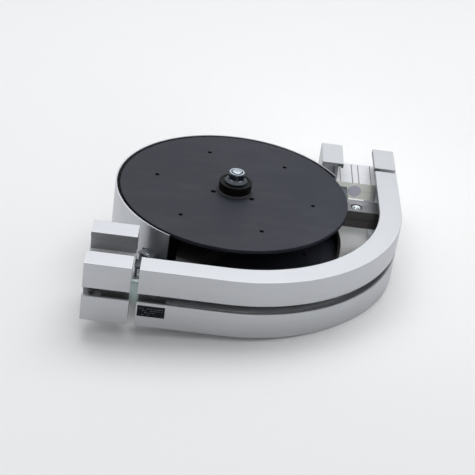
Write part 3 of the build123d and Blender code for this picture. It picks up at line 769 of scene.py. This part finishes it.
def makeFootRing(name, node, facing):
    # a soft lip round the collar's foot
    s = collarShape
    low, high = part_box(node)
    outer = (high.x - low.x) / 2
    inner = outer - s["lipWidth"]
    foot, crest = (low.z, high.z)[::facing]
    rings = [(inner, foot), (outer, foot)]
    for step in range(s["lipSteps"] + 1):
        turn = math.pi / 2 * step / s["lipSteps"]
        rings.append((inner + (outer - inner) * math.cos(turn), foot + (crest - foot) * math.sin(turn)))
    rings.append((inner - s["lipEnd"], crest))
    finishPiece(name, boreThrough(ringMesh(rings, 96)), [node], 40.0)


for wheelName, facing in (("upper", 1), ("lower", -1)):
    makeCollar(wheelName + "_grooved_collar", wheelName + "_wheel_hub", facing)
    makeFootRing(wheelName + "_foot_lip", wheelName + "_foot_ring", facing)


def ringTree():
    # repeats the given piece round the axis
    shaper = Shaper("repeatRound", {"Count": ("Int", 12), "Radius": ("Float", 0.01),
                                    "Height": ("Float", 0.0), "Material": ("Material", None)})
    points = shaper.node("GeometryNodeMeshLine", {}, {"Count": shaper.given("Count"), "Offset": (0, 0, 0)})
    turn = shaper.node("GeometryNodeInputIndex") / shaper.given("Count") * (2 * math.pi)
    where = shaper.node("ShaderNodeCombineXYZ", {}, [shaper.given("Radius") * turn.maths("COSINE"),
                                                     shaper.given("Radius") * turn.maths("SINE"),
                                                     shaper.given("Height")])
    points = shaper.node("GeometryNodeSetPosition", {}, {"Geometry": points, "Position": where})
    spin = shaper.node("ShaderNodeCombineXYZ", {}, [0.0, 0.0, turn])
    placed = shaper.node("GeometryNodeInstanceOnPoints", {}, {
        "Points": points, "Instance": shaper.given("Geometry"), "Rotation": spin})
    return shaper.finish(placed)


nutShape = {"acrossFlats": 0.018, "bore": 0.006, "boreEase": (0.0008, 0.0007), "ease": 0.0003,
            "flangeEdge": 0.0012, "skirt": 0.0024, "skirtOut": 0.0014, "shoulder": 0.0008,
            "crown": 0.0014, "crownEdge": 0.0004, "teeth": 36, "toothWidth": 0.0006,
            "toothHeight": 0.0005, "toothIn": 0.0012, "toothEnd": 0.0004, "toothLift": 0.0001}


def makeNut():
    # a flange nut: a hexagon whose crown is turned off, on a skirt with fine ribs
    s = nutShape
    low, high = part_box("axle_flange_nut")
    flange, foot, top = (high.x - low.x) / 2, low.z, high.z
    flat, rim = s["acrossFlats"] / 2, foot + s["flangeEdge"]
    rings = [(s["bore"], foot), (flange - s["ease"], foot), (flange, foot + s["ease"]), (flange, rim),
             (flange - s["ease"], rim + s["ease"]), (flat + s["skirtOut"], rim + s["skirt"]),
             (flat, rim + s["skirt"] + s["shoulder"], "hex"), (flat, top - s["crown"], "hex"),
             (flat * 1.045, top - s["crown"] * 0.62), (flat * 0.99, top - s["crownEdge"]), (flat * 0.95, top),
             (s["bore"] + s["boreEase"][0], top), (s["bore"], top - s["boreEase"][1])]
    finishPiece("flange_nut_turned", boreThrough(ringMesh(rings, 72, math.pi / 6)), ["axle_flange_nut"], 30.0)
    tooth = bmesh.new()
    bmesh.ops.create_cube(tooth, size=1.0)
    run = flange - flat - s["toothIn"] - s["toothEnd"]
    for vert in tooth.verts:
        outward = vert.co.x + 0.5
        vert.co.x = outward * run
        vert.co.y *= s["toothWidth"]
        vert.co.z = (vert.co.z + 0.5) * s["toothHeight"] + (1 - outward) * (s["skirt"] - s["toothEnd"])
    bm = shaped(tooth, ringTree(), {"Count": s["teeth"], "Radius": flat + s["toothIn"],
                                    "Height": rim + s["toothLift"], "Material": finishes["nut"]})
    finishPiece("flange_nut_ribs", bm, [], 30.0, "zinc_steel", finishes["nut"], "frame")


makeNut()
print("hub and nut made")


def rowTree():
    # repeats the given screw along a line
    shaper = Shaper("repeatAlong", {"Count": ("Int", 2), "First": ("Vector", (0, 0, 0)),
                                    "Step": ("Vector", (0, 0, 0)), "Turn": ("Vector", (0, 0, 0)),
                                    "Material": ("Material", None)})
    points = shaper.node("GeometryNodeMeshLine", {}, {"Count": shaper.given("Count"),
                                                      "Start Location": shaper.given("First"),
                                                      "Offset": shaper.given("Step")})
    placed = shaper.node("GeometryNodeInstanceOnPoints", {}, {
        "Points": points, "Instance": shaper.given("Geometry"), "Rotation": shaper.given("Turn")})
    return shaper.finish(placed)


def socketScrew(head, height, shank, length, socket, depth):
    # head up, with the underside of its head at zero
    rings = [(shank * 0.8, -length), (shank, -length + 0.0004), (shank, 0), (head * 0.97, 0),
             (head, 0.0002), (head, height * 0.8), (head * 0.9, height), (socket * 1.25, height),
             (socket, height - 0.0003, "hex"), (socket, height - depth, "hex")]
    return ringMesh(rings, 36)


padScrew = {"head": 0.0058, "height": 0.0026, "shank": 0.003, "length": 0.016, "socket": 0.0026,
            "depth": 0.0018}


def makePadScrews(tree):
    low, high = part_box("carrier_pad_screws")
    head = padScrew["head"]
    near = Vector((high.x - head, high.y - head, high.z - padScrew["height"]))
    far = Vector((low.x + head, low.y + head, near.z))
    bm = shaped(socketScrew(**padScrew), tree, {"Count": 2, "First": near, "Step": far - near,
                                                "Turn": (0, 0, 0), "Material": finishes["zinc"]})
    finishPiece("carrier_pad_screw_pair", bm, ["carrier_pad_screws"], 30.0)


grubScrew = {"radius": 0.003, "ease": 0.0004, "socket": 0.0015, "socketEase": 0.0003, "socketDepth": 0.003,
             "pitch": 0.013}


def makeGrubs(tree):
    # the grub screws of a strip stand in two close pairs, so the row is drawn twice
    s = grubScrew
    low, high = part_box("outfeed_strip_grub_screws")
    tall, inner = high.x - low.x, s["radius"] - s["ease"]
    rings = [(inner, 0), (s["radius"], s["ease"]), (s["radius"], tall - s["ease"]), (inner, tall),
             (s["socket"] * 1.2, tall), (s["socket"], tall - s["socketEase"], "hex"),
             (s["socket"], tall - s["socketDepth"], "hex")]
    for place in ("outfeed", "infeed"):
        whole = bmesh.new()
        for start in (low.y + s["radius"], high.y - s["radius"] - s["pitch"]):
            pair = shaped(ringMesh(rings, 24), tree, {
                "Count": 2, "First": (low.x, start, (low.z + high.z) / 2), "Step": (0, s["pitch"], 0),
                "Turn": (0, math.pi / 2, 0), "Material": finishes["blackSteel"]})
            mesh = bpy.data.meshes.new("pair")
            pair.to_mesh(mesh)
            pair.free()
            whole.from_mesh(mesh)
            bpy.data.meshes.remove(mesh)
        if place == "infeed":
            whole = mirrorToInfeed(whole)
        finishPiece(place + "_grub_row", whole, [place + "_strip_grub_screws"], 30.0)


screwRow = rowTree()
makePadScrews(screwRow)
makeGrubs(screwRow)
print("screws made")


plateShape = {"ease": 0.00012, "roomAcross": 0.0062, "roomUp": 0.0052, "columns": 9, "rows": 4, "seed": 5,
              "barHeight": 0.0006, "barDepth": 0.00008, "shortest": 0.0008, "longest": 0.0026,
              "kept": 0.55, "lift": 0.00006}


def barTree():
    # short bars in rows, of uneven length, that stand for print
    shaper = Shaper("printBars", {
        "Columns": ("Int", 8), "Rows": ("Int", 4), "Width": ("Float", 0.02), "Height": ("Float", 0.01),
        "Bar": ("Float", 0.0007), "Depth": ("Float", 0.0001), "Shortest": ("Float", 0.001),
        "Longest": ("Float", 0.002), "Kept": ("Float", 0.5), "Seed": ("Int", 3),
        "Centre": ("Vector", (0, 0, 0)), "Material": ("Material", None)})
    grid = shaper.node("GeometryNodeMeshGrid", {}, {
        "Size X": shaper.given("Width"), "Size Y": shaper.given("Height"),
        "Vertices X": shaper.given("Columns"), "Vertices Y": shaper.given("Rows")})
    chance = {"Probability": shaper.given("Kept"), "Seed": shaper.given("Seed")}
    keep = shaper.node("FunctionNodeRandomValue", {"data_type": "BOOLEAN"}, chance, 3)
    spread = {2: shaper.given("Shortest"), 3: shaper.given("Longest"), "Seed": shaper.given("Seed")}
    length = shaper.node("FunctionNodeRandomValue", {"data_type": "FLOAT"}, spread, 1)
    size = shaper.node("ShaderNodeCombineXYZ", {}, [length, shaper.given("Bar"), shaper.given("Depth")])
    placed = shaper.node("GeometryNodeInstanceOnPoints", {}, {
        "Points": grid, "Selection": keep, "Instance": shaper.given("Geometry"), "Scale": size})
    stood = shaper.node("GeometryNodeTransform", {}, {
        "Geometry": placed, "Rotation": (math.pi / 2, 0, 0), "Translation": shaper.given("Centre")})
    return shaper.finish(stood)


def makeNameplate():
    s = plateShape
    low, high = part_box("nameplate")
    softCopy("nameplate_body", ["nameplate"], s["ease"])
    bar = bmesh.new()
    bmesh.ops.create_cube(bar, size=1.0)
    centre = ((low.x + high.x) / 2, low.y - s["lift"], (low.z + high.z) / 2)
    bm = shaped(bar, barTree(), {
        "Columns": s["columns"], "Rows": s["rows"], "Width": high.x - low.x - s["roomAcross"],
        "Height": high.z - low.z - s["roomUp"], "Bar": s["barHeight"], "Depth": s["barDepth"],
        "Shortest": s["shortest"], "Longest": s["longest"], "Kept": s["kept"], "Seed": s["seed"],
        "Centre": centre, "Material": finishes["print"]})
    finishPiece("nameplate_bars", bm, [], 30.0, "black_label", finishes["print"], "frame")


makeNameplate()
print("nameplate made")


floorLook = {"reach": 30.0, "roughness": 0.9, "dark": (0.87, 0.87, 0.875), "light": (0.89, 0.89, 0.895)}


def makeFloor():
    # the bend stands on its bolt head and on the outer profile's lower edge, so the floor lies at a slope
    headLow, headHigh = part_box("axle_bolt")
    profileLow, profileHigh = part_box("outer_bend_profile")
    headEdge = (headHigh.x - headLow.x) / 2
    slope = (profileLow.z - headLow.z) / (profileHigh.x - headEdge)
    middle, reach = headLow.z - slope * headEdge, floorLook["reach"]
    mesh = bpy.data.meshes.new("floor")
    corners = [(-reach, -reach), (reach, -reach), (reach, reach), (-reach, reach)]
    corners = [(x, y, middle + slope * (x - y) / math.sqrt(2)) for x, y in corners]
    mesh.from_pydata(corners, [], [(0, 1, 2, 3)])
    floor = bpy.data.objects.new("floor", mesh)
    bpy.context.scene.collection.objects.link(floor)
    finish = Finish("floor", Roughness=floorLook["roughness"])
    cloud = finish.noise(finish.where, 3.0)
    finish.drive("Base Color", finish.blend(cloud, floorLook["dark"], floorLook["light"]))
    mesh.materials.append(finish.material)


studio = {
    "front": 0.14, "back": 0.66, "frontTint": (1.0, 1.0, 0.93), "backTint": (0.945, 0.965, 1.0),
    "lights": {            # place, aim, size, power and spread in degrees
        "overhead": ((0.1, 1.0, 2.0), (0.05, 0, 0), (2.6, 1.8), 31, 180),
        "side": ((-1.8, -0.6, 1.3), (0, 0, 0), (1.0, 1.0), 1.5, 180),
        "fill": ((0.4, -2.6, 1.5), (0.1, 0, 0), (1.2, 1.2), 6, 180),
        "outfeed": ((0.15, -1.3, 1.0), (0.155, 0.10, 0.03), (0.2, 0.2), 0.08, 16),
    },
}


def makeRoom():
    # a pale room that is darker and warmer low down in front
    world = bpy.data.worlds.new("studio")
    world.use_nodes = True
    room = NodeMaker(world.node_tree)
    where = room.node("ShaderNodeTexCoord", {}, (), "Generated")
    up = room.node("ShaderNodeSeparateXYZ", {}, [where], 2)
    along = room.node("ShaderNodeSeparateXYZ", {}, [where], 1)
    height = {"Value": up * 0.8 + along * 0.6, "From Min": -0.5, "From Max": 0.9}
    share = room.node("ShaderNodeMapRange", {}, height)
    tints = {0: share, 6: (*studio["frontTint"], 1), 7: (*studio["backTint"], 1)}
    tint = room.node("ShaderNodeMix", {"data_type": "RGBA"}, tints, 2)
    strength = share * (studio["back"] - studio["front"]) + studio["front"]
    background = room.node("ShaderNodeBackground", {}, {"Color": tint, "Strength": strength})
    room.node("ShaderNodeOutputWorld", {}, {"Surface": background})
    bpy.context.scene.world = world


def areaLight(name, place, aim, size, power, spread):
    data = bpy.data.lights.new(name, "AREA")
    data.shape = "RECTANGLE"
    data.size, data.size_y = size
    data.energy = power
    data.spread = math.radians(spread)
    light = bpy.data.objects.new(name, data)
    bpy.context.scene.collection.objects.link(light)
    light.location = place
    light.rotation_euler = (Vector(aim) - Vector(place)).to_track_quat("-Z", "Y").to_euler()


makeFloor()
makeRoom()
for lightName, settings in studio["lights"].items():
    areaLight(lightName, *settings)
bpy.context.scene.view_settings.view_transform = "Standard"
print("floor and light made")
